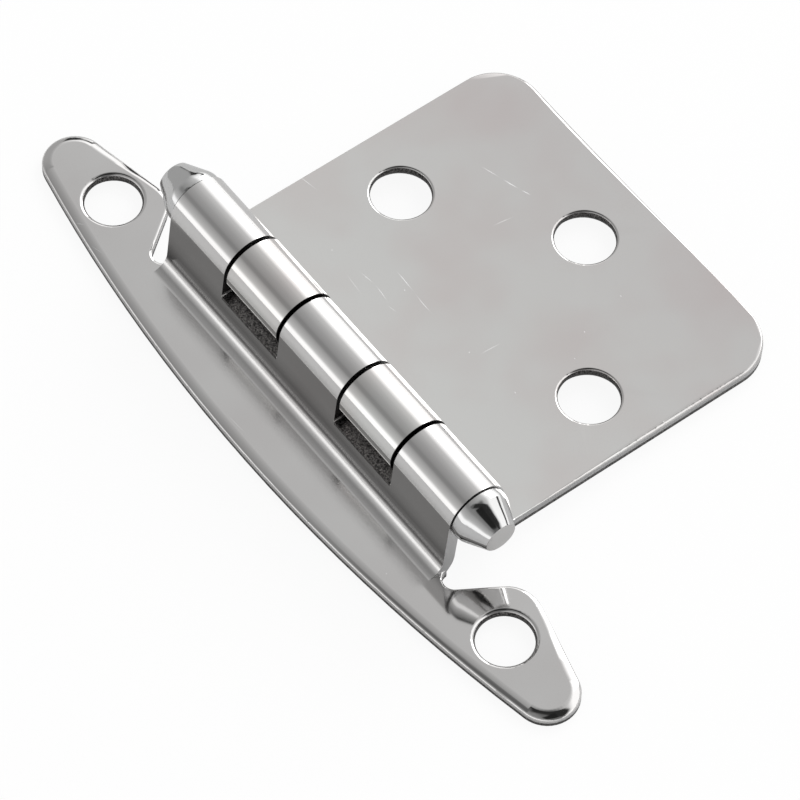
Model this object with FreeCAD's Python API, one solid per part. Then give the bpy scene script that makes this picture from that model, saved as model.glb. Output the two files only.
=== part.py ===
"""Surface mount cabinet hinge in chromed steel, lying on the back of its frame leaf.

Frame of the part: X points from the frame leaf to the free edge of the door leaf, Y runs along the
pin, Z is up. The origin lies midway between the frame leaf's screw holes, on the plane of its back.
Sizes are millimetres and degrees.
"""
import FreeCAD, Part
import math
import os

# Sheet and pin
frame_sheet = 1.2
door_sheet = 1.2
pin_diameter = 3.15
pin_running_clearance = 0.05

# Row of knuckles along the pin
barrel_length = 37.8
end_knuckle = 7.4
centre_knuckle = 7.8
knuckle_gap = 0.375
door_leaf_play_shift = -0.06

# Frame leaf: pin height over the leaf's face, web, curl
pin_height = 6.26
frame_web_lean = 5.5
frame_bend_radius = 1.5
frame_curl_end = 298.0
notch_clearance = 0.35

# Frame leaf: bow-shaped outline, as offsets from the pin towards the free edge and runs along the pin
# from the end of the barrel
right_ear_length = 16.5
left_ear_length = 16.1
bow_depth = 9.3
tip_radius = 2.8
tip_offset = 3.25
right_shoulder_run = 6.6
right_shoulder_radius = 3.0
right_shoulder_offset = 1.66
left_shoulder_run = 6.35
left_shoulder_radius = 2.6
left_shoulder_offset = 1.75
relief_radius = 1.05
relief_offset = 3.88
relief_corner_radius = 0.4
margin_width = 0.95
margin_slope = 22.0
margin_edge_radius = 0.3
relief_margin_share = 0.25
sewing_gap = 0.002
shoulder_margin_share = 0.55

# Frame leaf: screw holes
frame_hole_run = 8.0
frame_hole_offset = 3.05
frame_hole_diameter = 4.95
frame_hole_lip = 0.42
frame_hole_flare = 0.3
frame_hole_flare_height = 0.5

# Door leaf
door_face_drop = 5.29
door_web_lean = 0.0
door_bend_radius = 1.5
door_curl_end = 298.0
door_overhang = -0.07
door_reach = 33.05
door_corner_radius = 4.3
door_side_radius = 0.1
door_edge_radius = 0.35
door_hole_shift = -0.18
near_hole_inset = 6.03
near_hole_offset = 16.85
far_hole_inset = 6.4
door_hole_diameter = 5.3
door_hole_lip = 0.25
door_hole_flare = 0.28
door_hole_flare_height = 0.6

# Pin ends
head_length = 3.05
tip_length = 3.2
finial_base_radius = 2.62
finial_end_radius = 1.46
finial_collar = 0.75
finial_shoulder_radius = 1.5
finial_gap = 0.12
spigot_diameter = 2.2
spigot_length = 1.9

# Values that follow from the sizes above
pin_radius = pin_diameter / 2
frame_knuckle_radius = pin_radius + frame_sheet
door_bore_radius = pin_radius + pin_running_clearance
door_knuckle_radius = door_bore_radius + door_sheet
slot_length = (barrel_length - 2 * end_knuckle - centre_knuckle) / 2
door_knuckle = slot_length - 2 * knuckle_gap
slot_centre = (centre_knuckle + slot_length) / 2
axis_z = frame_sheet + pin_height
frame_hole_spacing = barrel_length + 2 * frame_hole_run
door_length = barrel_length + 2 * door_overhang
near_hole_spacing = door_length - 2 * near_hole_inset

Y_AXIS = FreeCAD.Vector(0, 1, 0)
Z_AXIS = FreeCAD.Vector(0, 0, 1)


def polar(radius, degrees):
    """Return the point at a radius and angle in the XZ plane, angle 0 along +X."""
    angle = math.radians(degrees)
    return FreeCAD.Vector(radius * math.cos(angle), 0, radius * math.sin(angle))


def arc(start, middle, end):
    """Return the edge of the arc through three points."""
    return Part.Arc(start, middle, end).toShape()


def line(start, end):
    """Return the straight edge between two points."""
    return Part.makeLine(start, end)


def notch_depth(bore, lean, other_radius):
    """Return how far a web's notch reaches below the pin axis to clear the other leaf's knuckle."""
    down_web = math.sqrt((other_radius + notch_clearance) ** 2 - bore ** 2)
    tilt = math.radians(lean)
    return down_web * math.cos(tilt) - bore * math.sin(tilt)


def bend_centre(radius, lean, drop, bend_radius):
    """Return the centre of the bend between web and leaf, on the side of the leaf's face."""
    normal = polar(1, lean)
    z = bend_radius - drop
    x = (radius + bend_radius - z * normal.z) / normal.x
    return FreeCAD.Vector(x, 0, z)


def rolled_strip(bore, sheet, lean, drop, bend_radius, curl_end, length):
    """Return curl, web and bend as one strip of sheet about the Y axis.

    The web stands on the +X side of the pin and the curl goes over the top and closes below.
    The strip ends where the bend becomes the flat leaf.
    """
    outer = bore + sheet
    normal = polar(1, lean)
    centre = bend_centre(outer, lean, drop, bend_radius)
    wide = bend_radius + sheet
    halfway = 225 + lean / 2
    curl_middle = (lean + curl_end) / 2
    face_end = centre + FreeCAD.Vector(0, 0, -bend_radius)
    back_end = centre + FreeCAD.Vector(0, 0, -wide)
    edges = [
        arc(face_end, centre + polar(bend_radius, halfway), centre - normal * bend_radius),
        line(centre - normal * bend_radius, polar(outer, lean)),
        arc(polar(outer, lean), polar(outer, curl_middle), polar(outer, curl_end)),
        line(polar(outer, curl_end), polar(bore, curl_end)),
        arc(polar(bore, curl_end), polar(bore, curl_middle), polar(bore, lean)),
        line(polar(bore, lean), centre - normal * wide),
        arc(centre - normal * wide, centre + polar(wide, halfway), back_end),
        line(back_end, face_end),
    ]
    face = Part.Face(Part.Wire(edges))
    strip = face.extrude(Y_AXIS * length)
    strip.translate(Y_AXIS * (-length / 2))
    return strip


def slot_cutter(start, end, depth, other_radius):
    """Return the block and round that clear curl and web between two places on the pin."""
    swept = other_radius + notch_clearance
    reach = 2 * swept
    corner = FreeCAD.Vector(-reach, start, -depth)
    block = Part.makeBox(2 * reach, end - start, depth + reach, corner)
    sweep = Part.makeCylinder(swept, end - start, FreeCAD.Vector(0, start, 0), Y_AXIS)
    return block.fuse(sweep)


def inner_tangent(void, void_radius, solid, solid_radius):
    """Return the ends of the line that leaves a relief arc and meets an ear's shoulder arc."""
    across = solid - void
    turn = math.acos(-(void_radius + solid_radius) / across.Length)
    angle = math.atan2(across.y, across.x) + turn
    normal = FreeCAD.Vector(math.cos(angle), math.sin(angle), 0)
    return void - normal * void_radius, solid + normal * solid_radius


def outer_tangent(first, first_radius, second, second_radius):
    """Return the ends of the line that lies on top of two arcs."""
    across = second - first
    turn = math.acos((first_radius - second_radius) / across.Length)
    angle = math.atan2(across.y, across.x) + turn
    normal = FreeCAD.Vector(math.cos(angle), math.sin(angle), 0)
    return first + normal * first_radius, second + normal * second_radius


def toward(centre, first, second, radius):
    """Return the point on a circle that faces the middle of two of its points."""
    way = (first + second) * 0.5 - centre
    way.normalize()
    return centre + way * radius


def ear_edges(length, bow_middle, shoulder, shoulder_radius):
    """Return an ear's outline from the root of the web over the relief to the bow, for the ear at +x.

    In this sketch x runs along the pin and y from the leaf's free edge to the pin.
    """
    relief = FreeCAD.Vector(barrel_length / 2 + relief_radius, relief_radius - relief_offset, 0)
    tip = FreeCAD.Vector(barrel_length / 2 + length - tip_radius, -tip_offset, 0)
    relief_end, shoulder_start = inner_tangent(relief, relief_radius, shoulder, shoulder_radius)
    shoulder_end, tip_start = outer_tangent(shoulder, shoulder_radius, tip, tip_radius)
    rise = tip_offset - bow_depth
    half_bow = tip.x - bow_middle
    bow_radius = (tip_radius ** 2 - half_bow ** 2 - rise ** 2) / (2 * (rise + tip_radius))
    way = tip - FreeCAD.Vector(bow_middle, bow_radius - bow_depth, 0)
    way.normalize()
    tip_end = tip + way * tip_radius
    relief_start = relief - FreeCAD.Vector(relief_radius, 0, 0)
    corner = relief_start - FreeCAD.Vector(relief_corner_radius, 0, 0)
    corner_start = corner + FreeCAD.Vector(0, relief_corner_radius, 0)
    corner_middle = toward(corner, corner_start, relief_start, relief_corner_radius)
    top = shoulder + FreeCAD.Vector(-0.1, 1, 0).normalize() * shoulder_radius
    return [
        arc(corner_start, corner_middle, relief_start),
        arc(relief_start, toward(relief, relief_start, relief_end, relief_radius), relief_end),
        line(relief_end, shoulder_start),
        arc(shoulder_start, top, shoulder_end),
        line(shoulder_end, tip_start),
        arc(tip_start, tip + FreeCAD.Vector(tip_radius, 0, 0), tip_end),
    ]


def to_plan(shape, mirrored):
    """Turn an ear's sketch into the part's plan: sketch x to -Y (or +Y) and sketch y to X."""
    origin = FreeCAD.Vector(0, 0, 0)
    turned = shape.mirror(origin, FreeCAD.Vector(1, 0, 0)) if mirrored else shape.copy()
    turned.rotate(origin, FreeCAD.Vector(0, 0, 1), -90)
    return turned


def middle_of(edge):
    """Return the point halfway along an edge."""
    return edge.valueAt((edge.FirstParameter + edge.LastParameter) / 2)


def margin_profile():
    """Return the sloped margin's rows, from the wall to the flat face, as insets and drops."""
    rows = []
    for step in range(9):
        angle = math.radians((90 - margin_slope) * step / 8)
        rows.append((margin_edge_radius * (1 - math.cos(angle)), margin_edge_radius * math.sin(angle)))
    slope_run = margin_width - rows[-1][0]
    rows.append((margin_width, rows[-1][1] + slope_run * math.tan(math.radians(margin_slope))))
    total = rows[-1][1]
    return [(inset, total - rise) for inset, rise in rows]


def margin_row(edge, inward, shares, inset, drop):
    """Return one row of the margin along an outline edge, whose share of the full size may change."""
    points = []
    steps = 16
    for step in range(steps + 1):
        along = step / steps
        share = shares[0] + (shares[1] - shares[0]) * (3 - 2 * along) * along ** 2
        place = edge.FirstParameter + along * (edge.LastParameter - edge.FirstParameter)
        tangent = edge.tangentAt(place)
        normal = FreeCAD.Vector(-tangent.y, tangent.x, 0) * inward
        height = FreeCAD.Vector(0, 0, frame_sheet - drop * share)
        points.append(edge.valueAt(place) + normal * (inset * share) + height)
    if shares[0] == shares[1]:
        if isinstance(edge.Curve, Part.Circle):
            return arc(points[0], points[steps // 2], points[-1])
        return line(points[0], points[-1])
    curve = Part.BSplineCurve()
    curve.interpolate(
        Points=points,
        InitialTangent=edge.tangentAt(edge.FirstParameter),
        FinalTangent=edge.tangentAt(edge.LastParameter),
    )
    return curve.toShape()


def margin_faces(edge, inward, shares):
    """Return the wall, the rounded edge and the slope along one outline edge, and its top row."""
    rows = [margin_row(edge, inward, shares, inset, drop) for inset, drop in margin_profile()]
    wall = Part.makeRuledSurface(edge, rows[0])
    rounded = Part.makeLoft([Part.Wire(row) for row in rows[:-1]], False, False)
    slope = Part.makeRuledSurface(rows[-2], rows[-1])
    return wall.Faces + rounded.Faces + slope.Faces, rows[-1]


def sloped_plate(outline):
    """Return the solid plate whose margin slopes down along the given edges and shares."""
    bottom = Part.Face(Part.Wire(Part.__sortEdges__([edge for edge, shares in outline])))
    faces = [bottom]
    top_edges = []
    for edge, shares in outline:
        tangent = edge.tangentAt((edge.FirstParameter + edge.LastParameter) / 2)
        normal = FreeCAD.Vector(-tangent.y, tangent.x, 0)
        inward = 1 if bottom.isInside(middle_of(edge) + normal * 0.01, 0.001, True) else -1
        made, top = margin_faces(edge, inward, shares)
        faces += made
        top_edges.append(top)
    faces.append(Part.Face(Part.Wire(Part.__sortEdges__(top_edges))))
    shell = Part.Shell(faces)
    shell.sewShape(sewing_gap)
    solid = Part.Solid(shell)
    if solid.Volume < 0:
        solid.reverse()
    return solid


def frame_plate(bend_line):
    """Return the flat bow-shaped plate with its rolled-down margin, back face at z = 0."""
    bow_middle = (right_ear_length - left_ear_length) / 2
    right_shoulder = FreeCAD.Vector(barrel_length / 2 + right_shoulder_run, -right_shoulder_offset, 0)
    left_shoulder = FreeCAD.Vector(barrel_length / 2 + left_shoulder_run, -left_shoulder_offset, 0)
    right = ear_edges(right_ear_length, bow_middle, right_shoulder, right_shoulder_radius)
    left = ear_edges(left_ear_length, -bow_middle, left_shoulder, left_shoulder_radius)
    right = [to_plan(edge, False) for edge in right]
    left = [to_plan(edge, True) for edge in left]
    bow_start = right[-1].valueAt(right[-1].LastParameter)
    bow_end = left[-1].valueAt(left[-1].LastParameter)
    line_start = right[0].valueAt(right[0].FirstParameter)
    line_end = left[0].valueAt(left[0].FirstParameter)
    small = relief_margin_share
    part_way = shoulder_margin_share
    shares = 3 * [(small, small)] + [(small, part_way), (part_way, 1), (1, 1)]
    outline = list(zip(right + left, shares + shares))
    outline.append((arc(bow_start, FreeCAD.Vector(-bow_depth, -bow_middle, 0), bow_end), (1, 1)))
    outline.append((line(line_start, line_end), (small, small)))
    plate = sloped_plate(outline)
    bend_zone = Part.makeBox(
        bend_line,
        barrel_length,
        3 * frame_sheet,
        FreeCAD.Vector(-bend_line, -barrel_length / 2, -frame_sheet),
    )
    return plate.cut(bend_zone)


def pierced(plate, centre, diameter, lip, flare, flare_height, sheet):
    """Cut a pierced screw hole through a plate that lies below centre.

    Its rim is rolled over on the face and its wall breaks out wider towards the back.
    """
    bore = diameter / 2
    reach = 2 * sheet
    neck = Part.makeCylinder(bore, 2 * reach, centre - Z_AXIS * reach, Z_AXIS)
    slope = flare / flare_height
    cone = Part.makeCone(
        bore,
        bore + slope * (flare_height + sheet),
        flare_height + sheet,
        centre - Z_AXIS * (sheet - flare_height),
        -Z_AXIS,
    )
    plate = plate.cut(neck).cut(cone)
    rim = []
    for edge in plate.Edges:
        if not isinstance(edge.Curve, Part.Circle):
            continue
        if (edge.Curve.Center - centre).Length < 0.01 and abs(edge.Curve.Radius - bore) < 0.01:
            rim.append(edge)
    return plate.makeFillet(lip, rim)


def make_frame_leaf():
    """Return the bow-shaped leaf with its web and its three tight knuckles."""
    centre = bend_centre(frame_knuckle_radius, frame_web_lean, pin_height, frame_bend_radius)
    strip = rolled_strip(
        pin_radius,
        frame_sheet,
        frame_web_lean,
        pin_height,
        frame_bend_radius,
        frame_curl_end,
        barrel_length,
    )
    depth = notch_depth(pin_radius, frame_web_lean, door_knuckle_radius)
    for side in (-1, 1):
        middle = side * slot_centre
        start = middle - slot_length / 2
        end = middle + slot_length / 2
        strip = strip.cut(slot_cutter(start, end, depth, door_knuckle_radius))
    strip = strip.mirror(FreeCAD.Vector(0, 0, 0), FreeCAD.Vector(1, 0, 0))
    strip.translate(FreeCAD.Vector(0, 0, axis_z))
    leaf = frame_plate(centre.x).fuse(strip).removeSplitter()
    for side in (-1, 1):
        place = FreeCAD.Vector(-frame_hole_offset, side * frame_hole_spacing / 2, frame_sheet)
        leaf = pierced(
            leaf,
            place,
            frame_hole_diameter,
            frame_hole_lip,
            frame_hole_flare,
            frame_hole_flare_height,
            frame_sheet,
        )
    return leaf


def round_door_edges(plate, bend_line):
    """Round the upper edges of the door leaf's plate, more along the free edge than at the sides."""
    specs = []
    for index, edge in enumerate(plate.Edges, 1):
        box = edge.BoundBox
        if box.ZMin < -door_face_drop - 0.001 or box.XMax < bend_line + 0.001:
            continue
        radii = []
        for place in (edge.FirstParameter, edge.LastParameter):
            at_edge = edge.valueAt(place).x > door_reach - 0.001
            radii.append(door_edge_radius if at_edge else door_side_radius)
        specs.append((index, radii[0], radii[1]))
    document = FreeCAD.newDocument("edges")
    base = document.addObject("Part::Feature", "plate")
    base.Shape = plate
    rounded = document.addObject("Part::Fillet", "rounded")
    rounded.Base = base
    rounded.Edges = specs
    document.recompute()
    shape = rounded.Shape.copy()
    FreeCAD.closeDocument(document.Name)
    return shape


def make_door_leaf():
    """Return the rectangular leaf with its web and its two running knuckles."""
    centre = bend_centre(door_knuckle_radius, door_web_lean, door_face_drop, door_bend_radius)
    strip = rolled_strip(
        door_bore_radius,
        door_sheet,
        door_web_lean,
        door_face_drop,
        door_bend_radius,
        door_curl_end,
        door_length,
    )
    inner = slot_centre - door_knuckle / 2
    outer = slot_centre + door_knuckle / 2
    far = door_length
    depth = notch_depth(door_bore_radius, door_web_lean, frame_knuckle_radius)
    for start, end in ((-far, -outer), (-inner, inner), (outer, far)):
        strip = strip.cut(slot_cutter(start, end, depth, frame_knuckle_radius))
    back = -door_face_drop - door_sheet
    corner = FreeCAD.Vector(centre.x, -door_length / 2, back)
    plate = Part.makeBox(door_reach - centre.x, door_length, door_sheet, corner)
    corners = []
    for edge in plate.Edges:
        box = edge.BoundBox
        if box.XMin > door_reach - 0.001 and box.ZLength > door_sheet - 0.001:
            corners.append(edge)
    plate = plate.makeFillet(door_corner_radius, corners)
    plate = round_door_edges(plate, centre.x)
    leaf = plate.fuse(strip).removeSplitter()
    holes = [
        (near_hole_offset, door_hole_shift - near_hole_spacing / 2),
        (near_hole_offset, door_hole_shift + near_hole_spacing / 2),
        (door_reach - far_hole_inset, door_hole_shift),
    ]
    for x, y in holes:
        leaf = pierced(
            leaf,
            FreeCAD.Vector(x, y, -door_face_drop),
            door_hole_diameter,
            door_hole_lip,
            door_hole_flare,
            door_hole_flare_height,
            door_sheet,
        )
    leaf.translate(Y_AXIS * door_leaf_play_shift)
    return leaf


def rest_droop():
    """Return how far the door leaf hangs down until its free edge meets the plane of rest."""
    depth = door_face_drop + door_sheet
    span = math.hypot(door_reach, depth)
    return math.degrees(math.asin(axis_z / span) - math.atan2(depth, door_reach))


def finial_profile(base_y, length):
    """Return the half section of a finial beyond base_y, with its rounded shoulder and cone."""
    end_y = base_y + length
    collar_y = base_y + finial_collar
    slope = math.atan2(finial_base_radius - finial_end_radius, length - finial_collar)
    setback = finial_shoulder_radius * math.tan(slope / 2)
    collar_top = FreeCAD.Vector(finial_base_radius, collar_y, 0)
    arc_start = FreeCAD.Vector(finial_base_radius, collar_y - setback, 0)
    arc_end = collar_top + FreeCAD.Vector(-math.sin(slope), math.cos(slope), 0) * setback
    hub = FreeCAD.Vector(finial_base_radius - finial_shoulder_radius, collar_y - setback, 0)
    arc_middle = hub + FreeCAD.Vector(math.cos(slope / 2), math.sin(slope / 2), 0) * finial_shoulder_radius
    cone_end = FreeCAD.Vector(finial_end_radius, end_y, 0)
    return [
        line(FreeCAD.Vector(finial_base_radius, base_y, 0), arc_start),
        arc(arc_start, arc_middle, arc_end),
        line(arc_end, cone_end),
        line(cone_end, FreeCAD.Vector(0, end_y, 0)),
    ]


def revolved(edges):
    """Return the solid turned from a half section about the Y axis."""
    face = Part.Face(Part.Wire(edges))
    return face.revolve(FreeCAD.Vector(0, 0, 0), Y_AXIS, 360)


def make_hinge_pin():
    """Return the rod with its turned head at -Y and its spigot for the loose tip at +Y."""
    head_y = barrel_length / 2 + finial_gap
    profile = finial_profile(head_y, head_length)
    profile.append(line(FreeCAD.Vector(0, head_y + head_length, 0), FreeCAD.Vector(0, head_y, 0)))
    profile.append(line(FreeCAD.Vector(0, head_y, 0), FreeCAD.Vector(finial_base_radius, head_y, 0)))
    head = revolved(profile)
    head = head.mirror(FreeCAD.Vector(0, 0, 0), Y_AXIS)
    rod = Part.makeCylinder(pin_radius, 2 * head_y, FreeCAD.Vector(0, -head_y, 0), Y_AXIS)
    spigot = Part.makeCylinder(spigot_diameter / 2, spigot_length, FreeCAD.Vector(0, head_y, 0), Y_AXIS)
    return head.fuse(rod).fuse(spigot).removeSplitter()


def make_pin_tip():
    """Return the tip pressed on the pin's spigot, of the head's form."""
    base_y = barrel_length / 2 + finial_gap
    profile = finial_profile(base_y, tip_length)
    floor_y = base_y + spigot_length
    bore = spigot_diameter / 2
    profile.append(line(FreeCAD.Vector(0, base_y + tip_length, 0), FreeCAD.Vector(0, floor_y, 0)))
    profile.append(line(FreeCAD.Vector(0, floor_y, 0), FreeCAD.Vector(bore, floor_y, 0)))
    profile.append(line(FreeCAD.Vector(bore, floor_y, 0), FreeCAD.Vector(bore, base_y, 0)))
    profile.append(line(FreeCAD.Vector(bore, base_y, 0), FreeCAD.Vector(finial_base_radius, base_y, 0)))
    return revolved(profile)


def main():
    """Build every piece in its place and write one STEP file for each."""
    os.makedirs("parts", exist_ok=True)
    frame_leaf = make_frame_leaf()
    frame_leaf.translate(FreeCAD.Vector(frame_hole_offset, 0, 0))
    pieces = {"frame_leaf": frame_leaf}
    door_leaf = make_door_leaf()
    door_leaf.rotate(FreeCAD.Vector(0, 0, 0), Y_AXIS, rest_droop())
    for name, shape in (
        ("door_leaf", door_leaf),
        ("hinge_pin", make_hinge_pin()),
        ("pin_tip", make_pin_tip()),
    ):
        shape.translate(FreeCAD.Vector(frame_hole_offset, 0, axis_z))
        pieces[name] = shape
    for name, shape in pieces.items():
        shape.exportStep(os.path.join("parts", name + ".step"))
        box = shape.BoundBox
        print(name, len(shape.Solids), shape.isValid(), round(shape.Volume, 2))
        print(box)


main()
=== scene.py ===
"""Surface mount cabinet hinge in chromed steel, laid open on a white table in soft studio light.

The hinge is four pieces: a bow-shaped frame leaf, a rectangular door leaf, and a pin with a turned
head and a pressed tip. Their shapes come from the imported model; this script gives each its finish,
breaks its sharp corners, and sets the table, the light and the camera. Sizes are millimetres.
"""
import logging
import math
from dataclasses import dataclass

import bpy
from mathutils import Matrix, Vector

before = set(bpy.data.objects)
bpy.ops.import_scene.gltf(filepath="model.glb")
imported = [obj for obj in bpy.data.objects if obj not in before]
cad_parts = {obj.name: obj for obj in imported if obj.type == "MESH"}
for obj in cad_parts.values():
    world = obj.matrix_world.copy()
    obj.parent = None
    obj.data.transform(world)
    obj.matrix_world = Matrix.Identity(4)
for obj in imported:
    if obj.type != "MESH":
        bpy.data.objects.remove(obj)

LOG = logging.getLogger("hinge")
MM = 0.001

# Where the pin's axis lies, as x and z.
PIN_AXIS = (3.05, 7.46)
# The part of a surface's direction along the pin from which it is a cut end, and along z from
# which it is a flat face rather than a wall. Each pair is where the mask starts and is full.
CUT_END = (0.9, 0.97)
FLAT_FACE = (0.3, 0.6)
# Vertices closer than this are one, and a vertex this close to a height lies on it.
SAME_PLACE = 0.0005
SAME_HEIGHT = 0.004


def linear(hex_colour: str) -> tuple[float, float, float, float]:
    """Turn an sRGB hex colour into the linear colour that a shader socket takes.

    Args:
        hex_colour: Six hex digits after a hash.

    Returns:
        Red, green, blue and an alpha of one.
    """
    parts = [int(hex_colour[i : i + 2], 16) / 255 for i in (1, 3, 5)]
    turned = [p / 12.92 if p <= 0.04045 else ((p + 0.055) / 1.055) ** 2.4 for p in parts]
    return turned[0], turned[1], turned[2], 1.0


def add_node(
    tree: bpy.types.NodeTree,
    kind: str,
    settings: dict | None = None,
    values: dict | None = None,
    links: dict | None = None,
) -> bpy.types.Node:
    """Add a node with its settings, its constant inputs and its links.

    Args:
        tree: The node tree that takes the node.
        kind: The node's type name.
        settings: Properties of the node itself.
        values: Constant inputs, by name or place.
        links: Sources of the linked inputs, by name or place.

    Returns:
        The node.
    """
    made = tree.nodes.new(kind)
    for name, value in (settings or {}).items():
        setattr(made, name, value)
    for key, value in (values or {}).items():
        made.inputs[key].default_value = value
    for key, source in (links or {}).items():
        tree.links.new(source, made.inputs[key])
    return made


def fill_ramp(ramp: bpy.types.ColorRamp, stops: tuple[tuple[float, float], ...]) -> None:
    """Set the grey stops of a colour ramp.

    Args:
        ramp: The ramp, which starts with two stops.
        stops: Places from 0 to 1 and their linear grey, in rising order.
    """
    for place, _ in stops[2:]:
        ramp.elements.new(place)
    for element, (place, grey) in zip(ramp.elements, stops):
        element.position = place
        element.color = (grey, grey, grey, 1.0)


@dataclass(frozen=True)
class Place:
    """Where a leaf's own millimetre coordinates start and how far they are turned.

    In them x runs from the pin's axis across the leaf, y along the pin, and z up from the axis.
    """

    x: float
    z: float
    droop: float

    def coordinates(self, tree: bpy.types.NodeTree) -> bpy.types.NodeSocket:
        """Return the leaf's own coordinates, in millimetres."""
        where = add_node(tree, "ShaderNodeTexCoord")
        scaled = add_node(
            tree,
            "ShaderNodeMapping",
            settings={"vector_type": "TEXTURE"},
            values={
                "Location": (self.x * MM, 0.0, self.z * MM),
                "Rotation": (0.0, math.radians(self.droop), 0.0),
                "Scale": (MM, MM, MM),
            },
            links={"Vector": where.outputs["Object"]},
        )
        return scaled.outputs["Vector"]


@dataclass(frozen=True)
class Window:
    """A soft-edged box in a leaf's own coordinates, used as a mask."""

    low: tuple[float, float, float]
    high: tuple[float, float, float]
    softness: float = 0.02

    def mask(
        self, tree: bpy.types.NodeTree, coordinates: bpy.types.NodeSocket
    ) -> bpy.types.NodeSocket:
        """Build the mask.

        Args:
            tree: The material's nodes.
            coordinates: The leaf's own coordinates.

        Returns:
            A value of one inside the box and nought outside it.
        """
        split = add_node(tree, "ShaderNodeSeparateXYZ", links={0: coordinates})
        result = None
        for axis in range(3):
            middle = (self.low[axis] + self.high[axis]) / 2
            half = (self.high[axis] - self.low[axis]) / 2
            offset = add_node(
                tree,
                "ShaderNodeMath",
                settings={"operation": "SUBTRACT"},
                values={1: middle},
                links={0: split.outputs[axis]},
            )
            away = add_node(
                tree,
                "ShaderNodeMath",
                settings={"operation": "ABSOLUTE"},
                links={0: offset.outputs[0]},
            )
            inside = add_node(
                tree,
                "ShaderNodeMapRange",
                settings={"interpolation_type": "SMOOTHSTEP"},
                values={
                    "From Min": half - self.softness,
                    "From Max": half + self.softness,
                    "To Min": 1.0,
                    "To Max": 0.0,
                },
                links={"Value": away.outputs[0]},
            )
            if result is None:
                result = inside.outputs[0]
                continue
            both = add_node(
                tree,
                "ShaderNodeMath",
                settings={"operation": "MULTIPLY"},
                links={0: result, 1: inside.outputs[0]},
            )
            result = both.outputs[0]
        return result


@dataclass(frozen=True)
class Bore:
    """The wall of a screw hole under its rolled rim, as a mask in a leaf's own coordinates."""

    x: float
    y: float
    radius: float
    top: float
    fade: tuple[float, float] = (0.02, 0.06)
    fade_up: float = 0.05

    def mask(
        self, tree: bpy.types.NodeTree, coordinates: bpy.types.NodeSocket
    ) -> bpy.types.NodeSocket:
        """Build the mask.

        Args:
            tree: The material's nodes.
            coordinates: The leaf's own coordinates.

        Returns:
            A value of one on the hole's wall.
        """
        flat = add_node(
            tree,
            "ShaderNodeVectorMath",
            settings={"operation": "MULTIPLY"},
            values={1: (1.0, 1.0, 0.0)},
            links={0: coordinates},
        )
        reach = add_node(
            tree,
            "ShaderNodeVectorMath",
            settings={"operation": "DISTANCE"},
            values={1: (self.x, self.y, 0.0)},
            links={0: flat.outputs[0]},
        )
        inside = add_node(
            tree,
            "ShaderNodeMapRange",
            settings={"interpolation_type": "SMOOTHSTEP"},
            values={
                "From Min": self.radius + self.fade[0],
                "From Max": self.radius + self.fade[1],
                "To Min": 1.0,
                "To Max": 0.0,
            },
            links={"Value": reach.outputs["Value"]},
        )
        split = add_node(tree, "ShaderNodeSeparateXYZ", links={0: coordinates})
        under = add_node(
            tree,
            "ShaderNodeMapRange",
            values={
                "From Min": self.top,
                "From Max": self.top + self.fade_up,
                "To Min": 1.0,
                "To Max": 0.0,
            },
            links={"Value": split.outputs[2]},
        )
        both = add_node(
            tree,
            "ShaderNodeMath",
            settings={"operation": "MULTIPLY"},
            links={0: inside.outputs[0], 1: under.outputs[0]},
        )
        return both.outputs[0]


@dataclass(frozen=True)
class Scratch:
    """A fine bright scratch between two places on a leaf's face."""

    start: tuple[float, float]
    end: tuple[float, float]
    width: float
    strength: float

    def mask(
        self, tree: bpy.types.NodeTree, coordinates: bpy.types.NodeSocket
    ) -> bpy.types.NodeSocket:
        """Build the mask.

        Args:
            tree: The material's nodes.
            coordinates: The leaf's own coordinates, already a little uneven.

        Returns:
            A value up to the scratch's strength along its line.
        """
        start = Vector((*self.start, 0.0))
        end = Vector((*self.end, 0.0))
        along = end - start
        angle = math.atan2(along.y, along.x)
        turned = add_node(
            tree,
            "ShaderNodeMapping",
            settings={"vector_type": "TEXTURE"},
            values={
                "Location": tuple((start + end) / 2),
                "Rotation": (0.0, 0.0, angle),
                "Scale": (along.length / 2, self.width, 1.0),
            },
            links={"Vector": coordinates},
        )
        flat = add_node(
            tree,
            "ShaderNodeVectorMath",
            settings={"operation": "MULTIPLY"},
            values={1: (1.0, 1.0, 0.0)},
            links={0: turned.outputs["Vector"]},
        )
        reach = add_node(
            tree,
            "ShaderNodeVectorMath",
            settings={"operation": "LENGTH"},
            links={0: flat.outputs[0]},
        )
        inside = add_node(
            tree,
            "ShaderNodeMapRange",
            settings={"interpolation_type": "SMOOTHSTEP"},
            values={"From Min": 0.0, "From Max": 1.0, "To Min": self.strength, "To Max": 0.0},
            links={"Value": reach.outputs["Value"]},
        )
        return inside.outputs[0]


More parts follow.
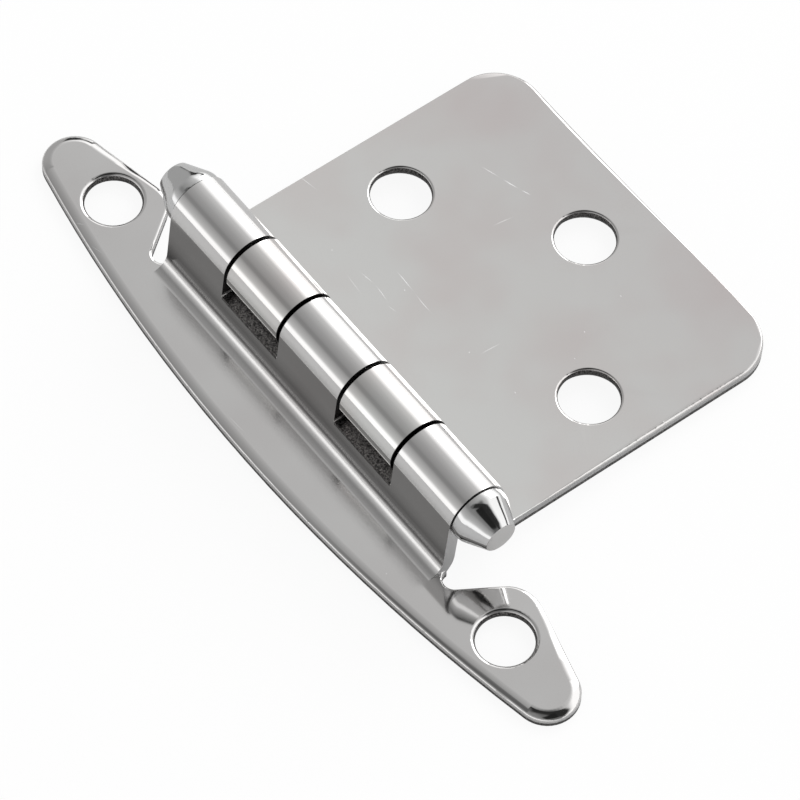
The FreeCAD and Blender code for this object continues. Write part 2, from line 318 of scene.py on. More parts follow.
@dataclass(frozen=True)
class ChromedSteel:
    """Bright chrome plate on steel.

    Rolled faces are a near mirror with the sheet's faint waviness. Cut ends are flat and satin.
    The part of a punched edge that the punch tore keeps its grain under the plate, so it is
    speckled; its dark is partly painted shade, at the outline's foot by the table, on notch floors
    and in screw holes.
    Where the sheet was bent, its stretched skin is matt like orange peel. Sizes and heights are of
    one grain of each pattern. The two ranges say which part of a noise becomes the pattern.
    """

    name: str
    colour: str
    far_colour: str
    tint: str
    cut_colour: str = "#CACACA"
    # The tear's grain in two tones; the dark one also stands for painted shade.
    torn_shade_dark: str = "#333232"
    torn_shade_light: str = "#918E8D"
    # Painted shade for the narrow gaps between the knuckles.
    gap_shade_colour: str = "#1A1919"
    roughness: float = 0.07
    bend_roughness: float = 0.21
    cut_roughness: float = 0.30
    torn_roughness: float = 0.38
    tint_size: float = 8.0
    tint_range: tuple[float, float] = (0.4, 0.7)
    wave_size: float = 9.0
    wave_height: float = 0.004
    peel_size: float = 0.30
    peel_height: float = 0.004
    grain_size: float = 0.13
    grain_height: float = 0.02
    grain_stretch: float = 1.6
    grain_range: tuple[float, float] = (0.38, 0.72)
    scratch_bow: float = 1.2
    scratch_bow_size: float = 8.33333333


def largest(
    tree: bpy.types.NodeTree, masks: list[bpy.types.NodeSocket]
) -> bpy.types.NodeSocket:
    """Return the largest of several masks, place by place."""
    result = masks[0]
    for mask in masks[1:]:
        both = add_node(
            tree, "ShaderNodeMath", settings={"operation": "MAXIMUM"}, links={0: result, 1: mask}
        )
        result = both.outputs[0]
    return result


class Plating:
    """Builds the chrome material of one piece from its finish and its own coordinates."""

    def __init__(self, finish: ChromedSteel, place: Place) -> None:
        """Start the material.

        Args:
            finish: Colours, roughness and grain.
            place: Where the piece's own coordinates start.
        """
        self.finish = finish
        self.material = bpy.data.materials.new(finish.name)
        self.material.use_nodes = True
        self.tree = self.material.node_tree
        self.tree.nodes.clear()
        self.coordinates = place.coordinates(self.tree)
        self.axes = add_node(self.tree, "ShaderNodeSeparateXYZ", links={0: self.coordinates})
        self.cut: bpy.types.NodeSocket | None = None
        self.torn_and_shade: bpy.types.NodeSocket | None = None
        self.bent: bpy.types.NodeSocket | None = None
        self.shade: bpy.types.NodeSocket | None = None
        self.scratches: bpy.types.NodeSocket | None = None
        self.gap_shade: bpy.types.NodeSocket | None = None

    def facing(self) -> bpy.types.Node:
        """Return the parts of the surface's direction, which turn with the piece."""
        surface = add_node(self.tree, "ShaderNodeNewGeometry")
        local = add_node(
            self.tree,
            "ShaderNodeVectorTransform",
            settings={"vector_type": "NORMAL", "convert_from": "WORLD", "convert_to": "OBJECT"},
            links={0: surface.outputs["Normal"]},
        )
        return add_node(self.tree, "ShaderNodeSeparateXYZ", links={0: local.outputs[0]})

    def steep(self, axis: int, low: float, high: float) -> bpy.types.NodeSocket:
        """Return a mask of where the surface's direction has a large enough part along an axis."""
        part = add_node(
            self.tree,
            "ShaderNodeMath",
            settings={"operation": "ABSOLUTE"},
            links={0: self.facing().outputs[axis]},
        )
        made = add_node(
            self.tree,
            "ShaderNodeMapRange",
            values={"From Min": low, "From Max": high},
            links={"Value": part.outputs[0]},
        )
        return made.outputs[0]

    def shear(
        self, floors: tuple[Window, ...], bores: tuple[Bore, ...], torn_shade_under: float
    ) -> None:
        """Mark the cut ends, and what the punch tore, darkened partly as painted shade.

        Args:
            floors: Boxes round the notch floors.
            bores: The screw holes.
            torn_shade_under: The height under which the punch tore the leaf's outline, also painted
                in shade by the table.
        """
        self.cut = self.steep(1, *CUT_END)
        low = add_node(
            self.tree,
            "ShaderNodeMapRange",
            values={
                "From Min": torn_shade_under,
                "From Max": torn_shade_under + 0.1,
                "To Min": 1.0,
                "To Max": 0.0,
            },
            links={"Value": self.axes.outputs[2]},
        )
        upright = add_node(
            self.tree,
            "ShaderNodeMath",
            settings={"operation": "SUBTRACT"},
            values={0: 1.0},
            links={1: self.steep(2, *FLAT_FACE)},
        )
        outline = add_node(
            self.tree,
            "ShaderNodeMath",
            settings={"operation": "MULTIPLY"},
            links={0: low.outputs[0], 1: upright.outputs[0]},
        )
        masks = [outline.outputs[0]]
        masks += [floor.mask(self.tree, self.coordinates) for floor in floors]
        masks += [bore.mask(self.tree, self.coordinates) for bore in bores]
        self.torn_and_shade = largest(self.tree, masks)

    def hide(self, gaps: tuple[Window, ...]) -> None:
        """Paint shade into the narrow gaps between the knuckles, where no light gets in."""
        self.gap_shade = largest(self.tree, [gap.mask(self.tree, self.coordinates) for gap in gaps])

    def bend(self, zone: Window, heights: tuple[float, float], shades: tuple) -> None:
        """Make the skin of a bend matt, and shade the fold where the two faces see each other.

        Args:
            zone: The box round the bend.
            heights: Where the shading starts and ends.
            shades: The shading between them, as stops of a ramp.
        """
        self.bent = zone.mask(self.tree, self.coordinates)
        up = add_node(
            self.tree,
            "ShaderNodeMapRange",
            values={"From Min": heights[0], "From Max": heights[1]},
            links={"Value": self.axes.outputs[2]},
        )
        ramp = add_node(self.tree, "ShaderNodeValToRGB", links={0: up.outputs[0]})
        fill_ramp(ramp.color_ramp, shades)
        self.shade = ramp.outputs[0]

    def scratch(self, scratches: tuple[Scratch, ...]) -> None:
        """Lay scratches on the upper face, each bowed a little as a real one is.

        Args:
            scratches: The scratches in the piece's own coordinates.
        """
        drift = add_node(
            self.tree,
            "ShaderNodeTexNoise",
            values={"Scale": 1.0 / self.finish.scratch_bow_size, "Detail": 1.0},
            links={"Vector": self.coordinates},
        )
        centred = add_node(
            self.tree,
            "ShaderNodeVectorMath",
            settings={"operation": "SUBTRACT"},
            values={1: (0.5, 0.5, 0.5)},
            links={0: drift.outputs["Color"]},
        )
        bowed = add_node(
            self.tree,
            "ShaderNodeVectorMath",
            settings={"operation": "MULTIPLY_ADD"},
            values={1: (self.finish.scratch_bow,) * 3},
            links={0: centred.outputs[0], 2: self.coordinates},
        )
        lines = largest(
            self.tree, [line.mask(self.tree, bowed.outputs[0]) for line in scratches]
        )
        upward = add_node(
            self.tree,
            "ShaderNodeMapRange",
            values={"From Min": FLAT_FACE[0], "From Max": FLAT_FACE[1]},
            links={"Value": self.facing().outputs[2]},
        )
        front = add_node(
            self.tree,
            "ShaderNodeMath",
            settings={"operation": "MULTIPLY"},
            links={0: lines, 1: upward.outputs[0]},
        )
        self.scratches = front.outputs[0]

    def noise(self, size: tuple[float, float, float], detail: float) -> bpy.types.NodeSocket:
        """Return a noise whose grains have the given size in millimetres along each axis."""
        scaled = add_node(
            self.tree,
            "ShaderNodeMapping",
            settings={"vector_type": "TEXTURE"},
            values={"Scale": size},
            links={"Vector": self.coordinates},
        )
        grain = add_node(
            self.tree,
            "ShaderNodeTexNoise",
            values={"Scale": 1.0, "Detail": detail},
            links={"Vector": scaled.outputs["Vector"]},
        )
        return grain.outputs["Fac"]

    def bump(
        self,
        height: bpy.types.NodeSocket,
        millimetres: float,
        under: bpy.types.NodeSocket | None,
        amount: bpy.types.NodeSocket | None = None,
    ) -> bpy.types.NodeSocket:
        """Raise the surface by a height map.

        Args:
            height: The map, from nought to one.
            millimetres: How high one is.
            under: The normal that this bump lies on.
            amount: A mask of where it is.

        Returns:
            The new normal.
        """
        links = {"Height": height}
        if under is not None:
            links["Normal"] = under
        if amount is not None:
            links["Strength"] = amount
        made = add_node(
            self.tree, "ShaderNodeBump", values={"Distance": millimetres * MM}, links=links
        )
        return made.outputs["Normal"]

    def mixed(
        self,
        share: bpy.types.NodeSocket | float,
        first: bpy.types.NodeSocket | tuple,
        second: bpy.types.NodeSocket | tuple,
        blend: str = "MIX",
    ) -> bpy.types.NodeSocket:
        """Mix two colours.

        Args:
            share: How much of the second there is.
            first: The first colour.
            second: The second colour.
            blend: How they mix.

        Returns:
            The new colour.
        """
        values = {}
        links = {}
        for key, given in ((0, share), (6, first), (7, second)):
            (links if isinstance(given, bpy.types.NodeSocket) else values)[key] = given
        made = add_node(
            self.tree,
            "ShaderNodeMix",
            settings={"data_type": "RGBA", "blend_type": blend},
            values=values,
            links=links,
        )
        return made.outputs[2]

    def roughness(
        self, dull: list[tuple[bpy.types.NodeSocket, float]]
    ) -> bpy.types.NodeSocket:
        """Return the roughness: the finish's own, raised where a duller zone's mask is.

        Args:
            dull: Masks and the roughness of each zone.
        """
        raised = []
        for mask, rough in dull:
            made = add_node(
                self.tree,
                "ShaderNodeMapRange",
                values={"To Min": self.finish.roughness, "To Max": rough},
                links={"Value": mask},
            )
            raised.append(made.outputs[0])
        return largest(self.tree, raised)

    def finished(self, shade_from: float, shade_to: float) -> bpy.types.Material:
        """Close the material.

        Args:
            shade_from: The distance from the pin where the plate has its full brightness.
            shade_to: The distance from the pin where it has its darker tone.

        Returns:
            The material.
        """
        finish = self.finish
        across = add_node(
            self.tree,
            "ShaderNodeMapRange",
            values={"From Min": shade_from, "From Max": shade_to},
            links={"Value": self.axes.outputs[0]},
        )
        colour = self.mixed(
            across.outputs[0], linear(finish.colour), linear(finish.far_colour)
        )
        tinted = add_node(
            self.tree,
            "ShaderNodeMapRange",
            values={"From Min": finish.tint_range[0], "From Max": finish.tint_range[1]},
            links={"Value": self.noise((finish.tint_size,) * 3, 2.0)},
        )
        colour = self.mixed(tinted.outputs[0], colour, linear(finish.tint), "MULTIPLY")
        if self.shade is not None:
            colour = self.mixed(1.0, colour, self.shade, "MULTIPLY")
        wave = self.noise((finish.wave_size,) * 3, 1.0)
        normal = self.bump(wave, finish.wave_height, None)
        peel = self.noise((finish.peel_size,) * 3, 3.0)
        dull = []
        if self.bent is not None:
            normal = self.bump(peel, finish.peel_height, normal, self.bent)
            dull.append((self.bent, finish.bend_roughness))
        if self.cut is not None:
            colour = self.mixed(self.cut, colour, linear(finish.cut_colour))
            dull.append((self.cut, finish.cut_roughness))
        # The tear's speckled grain; its dark is partly painted shade at the outline's foot, notch
        # floors and holes.
        if self.torn_and_shade is not None:
            size = finish.grain_size
            grain = self.noise((size, size, finish.grain_stretch * size), 4.0)
            spread = add_node(
                self.tree,
                "ShaderNodeMapRange",
                values={"From Min": finish.grain_range[0], "From Max": finish.grain_range[1]},
                links={"Value": grain},
            )
            speckled_shade = self.mixed(
                spread.outputs[0], linear(finish.torn_shade_dark), linear(finish.torn_shade_light)
            )
            colour = self.mixed(self.torn_and_shade, colour, speckled_shade)
            normal = self.bump(grain, finish.grain_height, normal, self.torn_and_shade)
            dull.append((self.torn_and_shade, finish.torn_roughness))
        if self.scratches is not None:
            colour = self.mixed(self.scratches, colour, (1.0, 1.0, 1.0, 1.0))
            dull.append((self.scratches, finish.torn_roughness))
        # Painted shade in the gaps between the knuckles.
        if self.gap_shade is not None:
            colour = self.mixed(self.gap_shade, colour, linear(finish.gap_shade_colour))
            dull.append((self.gap_shade, finish.torn_roughness))
        links = {"Base Color": colour, "Normal": normal}
        values = {"Metallic": 1.0}
        if dull:
            links["Roughness"] = self.roughness(dull)
        else:
            values["Roughness"] = finish.roughness
        shader = add_node(self.tree, "ShaderNodeBsdfPrincipled", values=values, links=links)
        add_node(
            self.tree, "ShaderNodeOutputMaterial", links={"Surface": shader.outputs["BSDF"]}
        )
        return self.material


def level_normals(name: str, height: float) -> bpy.types.NodeTree:
    """Make the nodes that hold the shading of a level face flat up to its outline.

    Args:
        name: The piece's name.
        height: The level face's height, in millimetres.

    Returns:
        The nodes of a modifier.
    """
    tree = bpy.data.node_groups.new("level_" + name, "GeometryNodeTree")
    for way in ("INPUT", "OUTPUT"):
        tree.interface.new_socket("Geometry", in_out=way, socket_type="NodeSocketGeometry")
    source = add_node(tree, "NodeGroupInput")
    place = add_node(tree, "GeometryNodeInputPosition")
    split = add_node(tree, "ShaderNodeSeparateXYZ", links={0: place.outputs[0]})
    level = add_node(
        tree,
        "ShaderNodeMath",
        settings={"operation": "COMPARE"},
        values={1: height * MM, 2: SAME_HEIGHT * MM},
        links={0: split.outputs[2]},
    )
    facing = add_node(tree, "GeometryNodeInputNormal")
    up = add_node(tree, "ShaderNodeSeparateXYZ", links={0: facing.outputs["True Normal"]})
    upward = add_node(
        tree,
        "ShaderNodeMath",
        settings={"operation": "GREATER_THAN"},
        values={1: 0.7},
        links={0: up.outputs[2]},
    )
    both = add_node(
        tree,
        "ShaderNodeMath",
        settings={"operation": "MULTIPLY"},
        links={0: level.outputs[0], 1: upward.outputs[0]},
    )
    turned = add_node(
        tree,
        "ShaderNodeMix",
        settings={"data_type": "VECTOR"},
        values={5: (0.0, 0.0, 1.0)},
        links={0: both.outputs[0], 4: facing.outputs["Normal"]},
    )
    kept = add_node(
        tree,
        "GeometryNodeSetMeshNormal",
        settings={"mode": "FREE", "domain": "CORNER"},
        links={"Mesh": source.outputs[0], "Custom Normal": turned.outputs[1]},
    )
    add_node(tree, "NodeGroupOutput", links={0: kept.outputs[0]})
    return tree


def break_corners(
    piece: bpy.types.Object, width: float, angle: float = 32.0, level: float | None = None
) -> None:
    """Merge a piece's loose triangles, break its sharp corners and even out its shading.

    Args:
        piece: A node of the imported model, whose own mesh stays as it is.
        width: How wide a broken corner is, in millimetres.
        angle: The sharpest turn, in degrees, that is left alone.
        level: The height of a level face, in millimetres, that has to shade as a flat.
    """
    tree = bpy.data.node_groups.new("merged_" + piece.name, "GeometryNodeTree")
    for way in ("INPUT", "OUTPUT"):
        tree.interface.new_socket("Geometry", in_out=way, socket_type="NodeSocketGeometry")
    source = add_node(tree, "NodeGroupInput")
    merged = add_node(
        tree,
        "GeometryNodeMergeByDistance",
        values={"Distance": SAME_PLACE * MM},
        links={"Geometry": source.outputs[0]},
    )
    smooth = add_node(
        tree, "GeometryNodeSetShadeSmooth", links={"Geometry": merged.outputs["Geometry"]}
    )
    add_node(tree, "NodeGroupOutput", links={0: smooth.outputs["Geometry"]})
    merge = piece.modifiers.new("Merge", "NODES")
    merge.node_group = tree
    bevel = piece.modifiers.new("Broken corners", "BEVEL")
    bevel.width = width * MM
    bevel.segments = 3
    bevel.limit_method = "ANGLE"
    bevel.angle_limit = math.radians(angle)
    bevel.harden_normals = False
    weigh = piece.modifiers.new("Even shading", "WEIGHTED_NORMAL")
    weigh.mode = "FACE_AREA_WITH_ANGLE"
    weigh.weight = 50
    weigh.keep_sharp = False
    if level is not None:
        flatten = piece.modifiers.new("Level face", "NODES")
        flatten.node_group = level_normals(piece.name, level)


def dress(piece: bpy.types.Object, material: bpy.types.Material) -> None:
    """Give a piece its only material and log which one it is.

    Args:
        piece: The piece.
        material: Its finish.
    """
    piece.data.materials.clear()
    piece.data.materials.append(material)
    LOG.info("%s dressed in %s", piece.name, material.name)


def knuckle_gaps() -> tuple[Window, ...]:
    """Return the boxes round the four gaps in the row of knuckles."""
    centres = (-11.31, -4.09, 4.09, 11.31)
    half_gap = 0.2
    reach = 3.5
    foot = -2.3
    return tuple(
        Window((-reach, y - half_gap, foot), (reach, y + half_gap, reach)) for y in centres
    )


@dataclass
class FrameLeaf:
    """The bow-shaped leaf with its web and its three tight knuckles."""

    hole_offset: float = 3.05
    hole_spacing: float = 53.8
    hole_radius: float = 2.8
    hole_top: float = -6.45
    face_height: float = 1.2
    corner: float = 0.07
    # Below this height the outline's tear is darkened, partly as painted shade by the table.
    torn_shade_under: float = -7.12
    notch_ends: tuple[float, float] = (3.95, 11.45)
    fold_zone: Window = Window((-6.3, -18.9, -6.4), (-2.9, 18.9, -4.6), 0.5)
    fold_heights: tuple[float, float] = (-6.3, -0.4)
    notch_floor: tuple[float, float] = (-2.915, -2.5)
    # Bright chrome on pressed steel sheet: a neutral mirror that goes a little darker to the bow.
    finish: ChromedSteel = ChromedSteel("chromed_frame_leaf", "#E1E0DF", "#DDDCDB", "#FAF9F9")
    scratches: tuple[Scratch, ...] = (
        Scratch((-6.87, 27.1), (-6.37, 26.2), 0.07, 0.9),
        Scratch((-7.3, 24.6), (-7.0, 22.9), 0.05, 0.7),
        Scratch((-8.1, 4.0), (-7.9, 1.2), 0.04, 0.5),
        Scratch((-5.2, -7.8), (-4.6, -9.0), 0.05, 0.5),
        Scratch((-7.0, -16.2), (-6.9, -16.3), 0.10, 0.8),
    )

    def fold_shades(self) -> tuple[tuple[float, float], ...]:
        """Return how much light the fold keeps between its foot and the knuckles."""
        return (
            (0.0, 1.0),
            (0.0072, 1.0),
            (0.0095, 0.75),
            (0.016, 0.85),
            (0.03, 0.97),
            (0.12, 1.0),
            (0.163, 0.6),
            (0.198, 0.25),
            (0.268, 0.28),
            (0.383, 0.5),
            (0.56, 0.85),
            (0.75, 1.0),
        )

    def build(self, pieces: dict[str, bpy.types.Object]) -> None:
        """Break the corners and dress the leaf."""
        piece = pieces["frame_leaf"]
        break_corners(piece, self.corner, level=self.face_height)
        plating = Plating(self.finish, Place(*PIN_AXIS, 0.0))
        bores = tuple(
            Bore(-self.hole_offset, side * self.hole_spacing / 2, self.hole_radius, self.hole_top)
            for side in (-1, 1)
        )
        near, far = self.notch_ends
        floors = tuple(
            Window((-3.4, low, self.notch_floor[0]), (-1.7, high, self.notch_floor[1]), 0.01)
            for low, high in ((near, far), (-far, -near))
        )
        plating.shear(floors, bores, self.torn_shade_under)
        plating.bend(self.fold_zone, self.fold_heights, self.fold_shades())
        plating.scratch(self.scratches)
        plating.hide(knuckle_gaps())
        dress(piece, plating.finished(0.0, -9.0))


@dataclass
class DoorLeaf:
    """The rectangular leaf with its web and its two running knuckles."""

    droop: float = 1.687
    middle: float = -0.18
    near_offset: float = 16.85
    near_spacing: float = 25.6
    far_offset: float = 26.65
    hole_radius: float = 2.95
    hole_top: float = -5.42
    corner: float = 0.06
    # Below this height the outline's tear is darkened, partly as painted shade by the table.
    torn_shade_under: float = -6.1
    # The same chrome on a flatter sheet: the cleaner mirror, warm and darker toward its far edge.
    finish: ChromedSteel = ChromedSteel("chromed_door_leaf", "#E5E5E3", "#CFCDCC", "#FBF6F6")
    scratches: tuple[Scratch, ...] = (
        Scratch((24.02, 10.86), (24.62, 8.87), 0.06, 0.7),
        Scratch((24.62, 8.87), (25.22, 7.02), 0.07, 0.9),
        Scratch((25.22, 7.02), (25.66, 5.80), 0.06, 0.9),
        Scratch((11.37, 6.44), (11.54, 3.91), 0.06, 1.0),
        Scratch((11.54, 3.91), (11.45, 1.34), 0.06, 0.8),
        Scratch((8.92, 8.21), (9.06, 6.47), 0.05, 0.8),
        Scratch((9.06, 6.47), (8.96, 4.40), 0.05, 0.9),
        Scratch((7.96, 8.90), (7.56, 6.17), 0.05, 0.5),
        Scratch((8.70, 4.34), (9.10, 3.07), 0.05, 0.5),
        Scratch((10.94, 19.53), (11.46, 16.57), 0.05, 0.7),
        Scratch((4.64, 1.79), (4.99, -0.21), 0.05, 0.6),
        Scratch((20.98, 5.33), (23.40, 4.86), 0.06, 0.6),
        Scratch((11.83, -4.43), (14.34, -4.75), 0.05, 0.7),
        Scratch((20.72, -7.67), (20.84, -7.70), 0.12, 0.9),
        Scratch((25.15, -6.73), (25.27, -6.70), 0.12, 0.9),
        Scratch((11.98, -9.02), (12.10, -9.04), 0.14, 1.0),
        Scratch((18.28, -9.39), (18.40, -9.36), 0.12, 0.8),
        Scratch((11.48, -3.72), (11.62, -3.74), 0.10, 0.8),
        Scratch((10.85, 4.49), (10.98, 4.52), 0.12, 0.9),
        Scratch((8.32, 11.39), (8.44, 11.36), 0.12, 0.8),
    )

    def build(self, pieces: dict[str, bpy.types.Object]) -> None:
        """Break the corners and dress the leaf."""
        piece = pieces["door_leaf"]
        break_corners(piece, self.corner)
        plating = Plating(self.finish, Place(*PIN_AXIS, self.droop))
        half = self.near_spacing / 2
        centres = (
            (self.near_offset, self.middle - half),
            (self.near_offset, self.middle + half),
            (self.far_offset, self.middle),
        )
        bores = tuple(Bore(x, y, self.hole_radius, self.hole_top) for x, y in centres)
        plating.shear((), bores, self.torn_shade_under)
        plating.scratch(self.scratches)
        plating.hide(knuckle_gaps())
        dress(piece, plating.finished(6.0, 34.0))


@dataclass
class HingePin:
    """The rod with its turned head, and the tip pressed on its other end."""

    corner: float = 0.12
    # Chrome on turned steel: a bright mirror with faint tool marks, and satin on the end face.
    finish: ChromedSteel = ChromedSteel(
        "chromed_pin", "#DADADA", "#DADADA", "#F8F8F6", cut_colour="#D0CFCE", roughness=0.09
    )

    def build(self, pieces: dict[str, bpy.types.Object]) -> None:
        """Break the corners and dress the pin and its tip."""
        plating = Plating(self.finish, Place(*PIN_AXIS, 0.0))
        plating.cut = plating.steep(1, *CUT_END)
        # The pin is painted in shade where it shows in the knuckle gaps.
        plating.hide(knuckle_gaps())
        material = plating.finished(0.0, 10.0)
        for name in ("hinge_pin", "pin_tip"):
            break_corners(pieces[name], self.corner)
            dress(pieces[name], material)


@dataclass(frozen=True)
class Card:
    """A dark or light card in the tent, as a soft-edged box of directions seen from the hinge."""

    centre: tuple[float, float, float]
    toward: tuple[float, float, float]
    half_long: float
    half_wide: float
    softness: float
    light: float

    def mask(
        self, tree: bpy.types.NodeTree, way: bpy.types.NodeSocket
    ) -> bpy.types.NodeSocket:
        """Build the card's mask.

        Args:
            tree: The world's nodes.
            way: The direction looked at.

        Returns:
            A value of one on the card and nought off it.
        """
        middle = Vector(self.centre).normalized()
        along = Vector(self.toward)
        along = (along - middle * along.dot(middle)).normalized()
        across = middle.cross(along)
        ahead = add_node(
            tree,
            "ShaderNodeVectorMath",
            settings={"operation": "DOT_PRODUCT"},
            values={1: middle},
            links={0: way},
        )
        front = add_node(
            tree,
            "ShaderNodeMath",
            settings={"operation": "GREATER_THAN"},
            values={1: 0.2},
            links={0: ahead.outputs["Value"]},
        )
        result = front.outputs[0]
        for axis, half in ((along, self.half_long), (across, self.half_wide)):
            dot = add_node(
                tree,
                "ShaderNodeVectorMath",
                settings={"operation": "DOT_PRODUCT"},
                values={1: axis},
                links={0: way},
            )
            away = add_node(
                tree,
                "ShaderNodeMath",
                settings={"operation": "ABSOLUTE"},
                links={0: dot.outputs["Value"]},
            )
            inside = add_node(
                tree,
                "ShaderNodeMapRange",
                settings={"interpolation_type": "SMOOTHSTEP"},
                values={
                    "From Min": half - self.softness,
                    "From Max": half + self.softness,
                    "To Min": 1.0,
                    "To Max": 0.0,
                },
                links={"Value": away.outputs[0]},
            )
            both = add_node(
                tree,
                "ShaderNodeMath",
                settings={"operation": "MULTIPLY"},
                links={0: result, 1: inside.outputs[0]},
            )
            result = both.outputs[0]
        return result


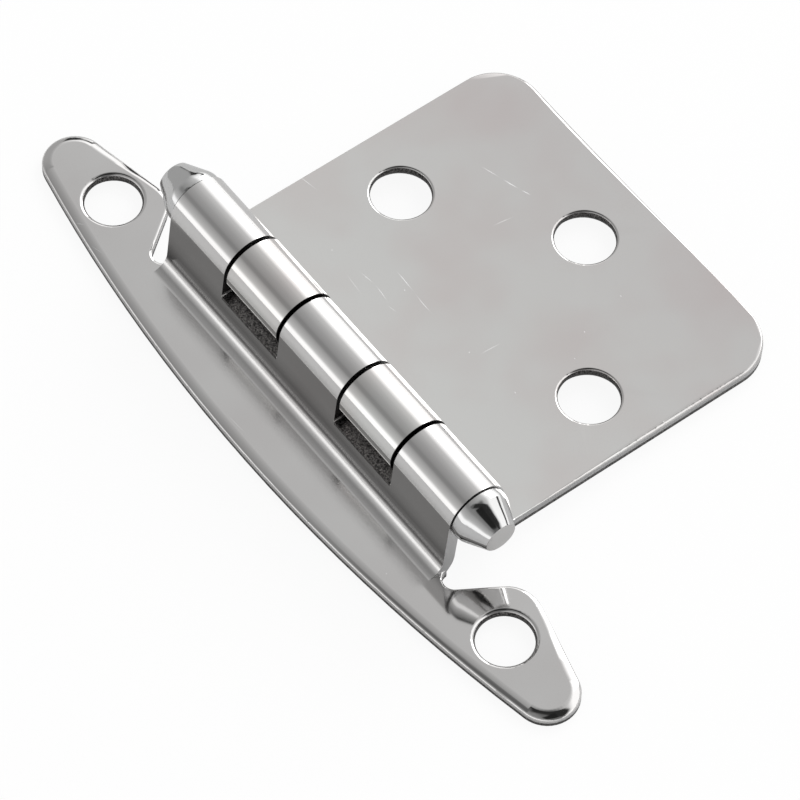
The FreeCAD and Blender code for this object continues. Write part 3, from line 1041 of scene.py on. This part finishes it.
@dataclass
class Studio:
    """A white table in a soft tent, bright at both sides and dark where the camera looks in."""

    table_side: float = 3000.0
    table_white: tuple[tuple[str, float], ...] = (
        ("Is Camera Ray", 0.86),
        ("Is Glossy Ray", 0.16),
        ("Is Transmission Ray", 0.1),
    )
    lamp_side: float = 420.0
    lamp_watts: float = 1.6
    lamp_at: tuple[float, float, float] = (640.0, 200.0, 340.0)
    far_end: float = 0.45
    far_stops: tuple[tuple[float, float], ...] = ((0.0, 0.0), (0.6, 0.0), (0.9, 1.0), (1.0, 1.0))
    # White paper: matt, so that it keeps the soft shadow, and white to the camera.
    paper: str = "#F2F2F2"
    paper_glow: float = 1.06
    paper_height: float = -0.02
    # The opening and its dark edge over the bow, the black core, the core as the pin's head shows
    # it, and the two dark stands behind the upper ear.
    cards: tuple[Card, ...] = (
        Card((-0.07, -0.48, 0.87), (0.0, -1.0, 0.0), 0.64, 0.34, 0.12, 0.16),
        Card((-0.36, 0.20, 0.91), (-0.05, 1.0, 0.0), 0.16, 0.14, 0.05, 0.15),
        Card((0.01, -0.22, 0.98), (0.48, -0.60, 0.0), 0.50, 0.18, 0.05, 0.03),
        Card((-0.17, -0.44, 0.88), (1.0, 0.0, 0.0), 0.22, 0.15, 0.03, 0.02),
        Card((0.53, 0.83, 0.17), (0.25, -0.27, 0.12), 0.12, 0.14, 0.03, 0.03),
        Card((0.80, 0.53, 0.29), (0.25, -0.27, 0.12), 0.06, 0.12, 0.02, 0.03),
    )

    def arc_stops(self) -> tuple[tuple[float, float], ...]:
        """Return the tent's light along an arc from the right horizon over the top to the left."""
        degrees = (
            (0.0, 1.30),
            (10.0, 1.28),
            (12.0, 0.04),
            (19.0, 0.04),
            (21.0, 1.33),
            (50.0, 1.35),
            (56.0, 1.05),
            (60.0, 0.82),
            (64.0, 0.69),
            (72.0, 0.62),
            (80.0, 0.53),
            (88.0, 0.476),
            (96.0, 0.42),
            (104.0, 0.386),
            (112.0, 0.35),
            (120.0, 0.28),
            (128.0, 0.29),
            (136.0, 0.43),
            (144.0, 0.51),
            (152.0, 0.585),
            (158.0, 0.72),
            (163.0, 1.10),
            (167.0, 1.35),
            (180.0, 1.30),
        )
        return tuple((angle / 180.0, light) for angle, light in degrees)

    def light(self) -> None:
        """Make the tent: its light by direction, and the dark opening where the camera looks in."""
        world = bpy.data.worlds.new("tent")
        bpy.context.scene.world = world
        world.use_nodes = True
        tree = world.node_tree
        tree.nodes.clear()
        where = add_node(tree, "ShaderNodeTexCoord")
        way = add_node(tree, "ShaderNodeSeparateXYZ", links={0: where.outputs["Generated"]})
        turn = add_node(
            tree,
            "ShaderNodeMath",
            settings={"operation": "ARCTAN2"},
            links={0: way.outputs[2], 1: way.outputs[0]},
        )
        share = add_node(
            tree,
            "ShaderNodeMapRange",
            values={"From Min": 0.0, "From Max": math.pi},
            links={"Value": turn.outputs[0]},
        )
        over = add_node(tree, "ShaderNodeValToRGB", links={0: share.outputs[0]})
        fill_ramp(over.color_ramp, self.arc_stops())
        ends = add_node(tree, "ShaderNodeValToRGB", links={0: way.outputs[1]})
        fill_ramp(ends.color_ramp, self.far_stops)
        tent = add_node(
            tree,
            "ShaderNodeMix",
            settings={"data_type": "RGBA"},
            values={7: (self.far_end, self.far_end, self.far_end, 1.0)},
            links={0: ends.outputs[0], 6: over.outputs[0]},
        )
        seen = tent.outputs[2]
        for card in self.cards:
            held = add_node(
                tree,
                "ShaderNodeMix",
                settings={"data_type": "RGBA"},
                values={7: (card.light, card.light, card.light, 1.0)},
                links={0: card.mask(tree, where.outputs["Generated"]), 6: seen},
            )
            seen = held.outputs[2]
        glow = add_node(tree, "ShaderNodeBackground", links={"Color": seen})
        add_node(tree, "ShaderNodeOutputWorld", links={"Surface": glow.outputs[0]})

    def table(self) -> None:
        """Lay the table: matt white paper that keeps the hinge's soft shadow."""
        bpy.ops.object.select_all(action="DESELECT")
        bpy.ops.mesh.primitive_plane_add(
            size=self.table_side * MM, location=(0.0, 0.0, self.paper_height * MM)
        )
        top = bpy.context.object
        top.name = "table"
        material = bpy.data.materials.new("white_paper")
        material.use_nodes = True
        tree = material.node_tree
        tree.nodes.clear()
        path = add_node(tree, "ShaderNodeLightPath")
        shares = []
        for name, white in self.table_white:
            share = add_node(
                tree,
                "ShaderNodeMath",
                settings={"operation": "MULTIPLY"},
                values={1: white},
                links={0: path.outputs[name]},
            )
            shares.append(share.outputs[0])
        paper = add_node(tree, "ShaderNodeBsdfDiffuse", values={"Color": linear(self.paper)})
        white = add_node(
            tree,
            "ShaderNodeEmission",
            values={"Color": (1.0, 1.0, 1.0, 1.0), "Strength": self.paper_glow},
        )
        mixed = add_node(
            tree,
            "ShaderNodeMixShader",
            links={0: largest(tree, shares), 1: paper.outputs[0], 2: white.outputs[0]},
        )
        add_node(tree, "ShaderNodeOutputMaterial", links={"Surface": mixed.outputs[0]})
        top.data.materials.append(material)

    def lamp(self) -> None:
        """Hang one large soft lamp beyond the door leaf."""
        data = bpy.data.lights.new("soft_lamp", "AREA")
        data.shape = "SQUARE"
        data.size = self.lamp_side * MM
        data.energy = self.lamp_watts
        lamp = bpy.data.objects.new("soft_lamp", data)
        bpy.context.scene.collection.objects.link(lamp)
        lamp.location = Vector(self.lamp_at) * MM
        lamp.rotation_euler = (-lamp.location).to_track_quat("-Z", "Y").to_euler()

    def build(self) -> None:
        """Set the whole studio."""
        self.light()
        self.table()
        self.lamp()


@dataclass
class Viewpoint:
    """The photograph's camera, a long lens from above the left."""

    eye: tuple[float, float, float] = (-157.0084, -204.0493, 404.7730)
    right: tuple[float, float, float] = (0.792296, -0.609827, 0.019446)
    up: tuple[float, float, float] = (0.505088, 0.673430, 0.539795)
    lens: float = 260.247
    sensor: float = 36.0

    def build(self) -> None:
        """Place the camera and make it the scene's."""
        data = bpy.data.cameras.new("viewpoint")
        camera = bpy.data.objects.new("viewpoint", data)
        bpy.context.scene.collection.objects.link(camera)
        right = Vector(self.right).normalized()
        up = Vector(self.up)
        up = (up - right * up.dot(right)).normalized()
        back = right.cross(up)
        turned = Matrix((right, up, back)).transposed().to_4x4()
        turned.translation = Vector(self.eye) * MM
        camera.matrix_world = turned
        data.lens = self.lens
        data.sensor_width = self.sensor
        data.clip_start = 0.01
        data.clip_end = 20.0
        bpy.context.scene.camera = camera


def main() -> None:
    """Build the hinge's finishes, the studio and the camera."""
    logging.basicConfig(level=logging.INFO)
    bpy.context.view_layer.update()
    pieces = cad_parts
    for part in (FrameLeaf(), DoorLeaf(), HingePin()):
        part.build(pieces)
    Studio().build()
    Viewpoint().build()
    bpy.context.scene.view_settings.view_transform = "Standard"


if __name__ == "__main__":
    main()
